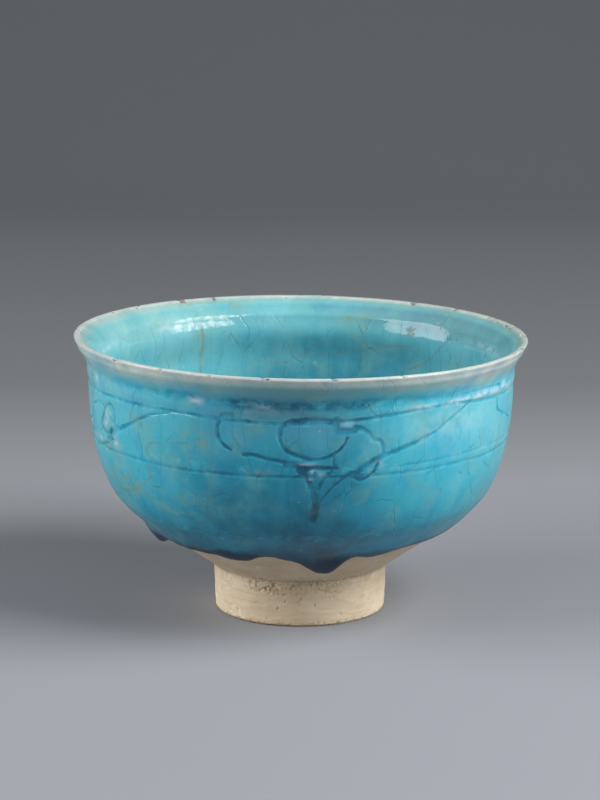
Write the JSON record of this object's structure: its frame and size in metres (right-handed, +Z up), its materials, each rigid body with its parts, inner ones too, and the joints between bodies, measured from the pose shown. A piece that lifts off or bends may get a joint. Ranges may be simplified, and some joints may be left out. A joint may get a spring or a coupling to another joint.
{
  "type": "footed bowl",
  "caption": "Footed round bowl with everted lip, ring lines and a running turquoise glaze that stops in drips above a bare clay foot.",
  "frame": {"origin": "centre of the foot ring's standing face, on the surface the bowl stands on", "axes": "+Z up through the middle of the bowl, -Y towards the pictured front"},
  "size_m": [0.175, 0.175, 0.1092],
  "materials": {
    "stonepaste": "matte",
    "foot_stonepaste": "matte",
    "glaze_outside": "gloss",
    "glaze_inside": "gloss"
  },
  "bodies": {
    "root": {"bowl_body": "stonepaste", "foot_ring": "foot_stonepaste", "outer_glaze": "glaze_outside", "inner_glaze": "glaze_inside"}
  },
  "joints": []
}
